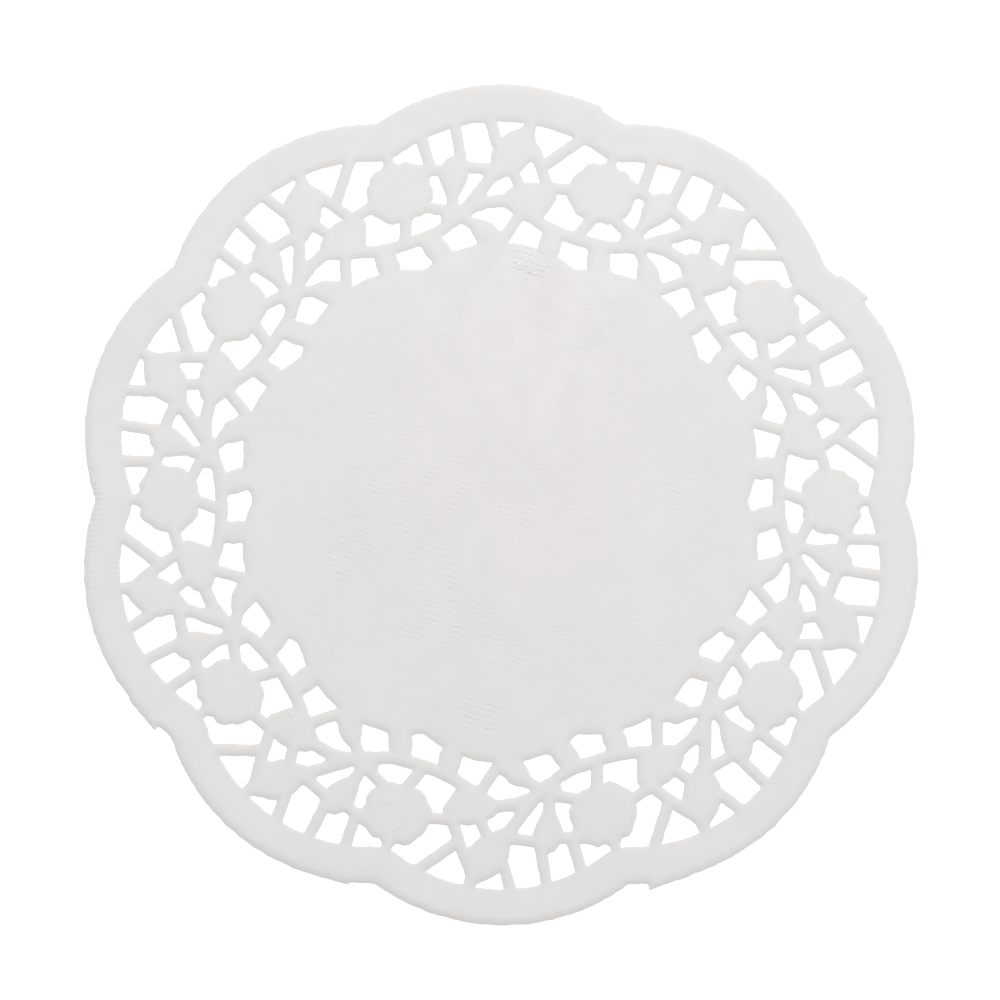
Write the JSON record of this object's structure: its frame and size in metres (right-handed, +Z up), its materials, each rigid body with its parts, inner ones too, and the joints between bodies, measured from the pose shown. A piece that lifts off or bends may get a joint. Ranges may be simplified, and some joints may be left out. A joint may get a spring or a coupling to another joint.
{
  "type": "paper doily",
  "caption": "Round paper doily: one flat pressed and die-cut sheet with a scalloped rim, a pierced lace band of flowers, leaves and vines, and a plain middle.",
  "frame": {"origin": "middle of the lace on the underside of the sheet", "axes": "+Z up out of the face that shows in the picture, -Y towards the viewer of the picture; a lobe of the rim points along +Y and another along -Y"},
  "size_m": [0.1367, 0.1402, 0.001],
  "materials": {
    "paper": "matt white uncoated paper with a faint pressed linen grain"
  },
  "bodies": {
    "root": {"doily": "paper"}
  },
  "joints": []
}
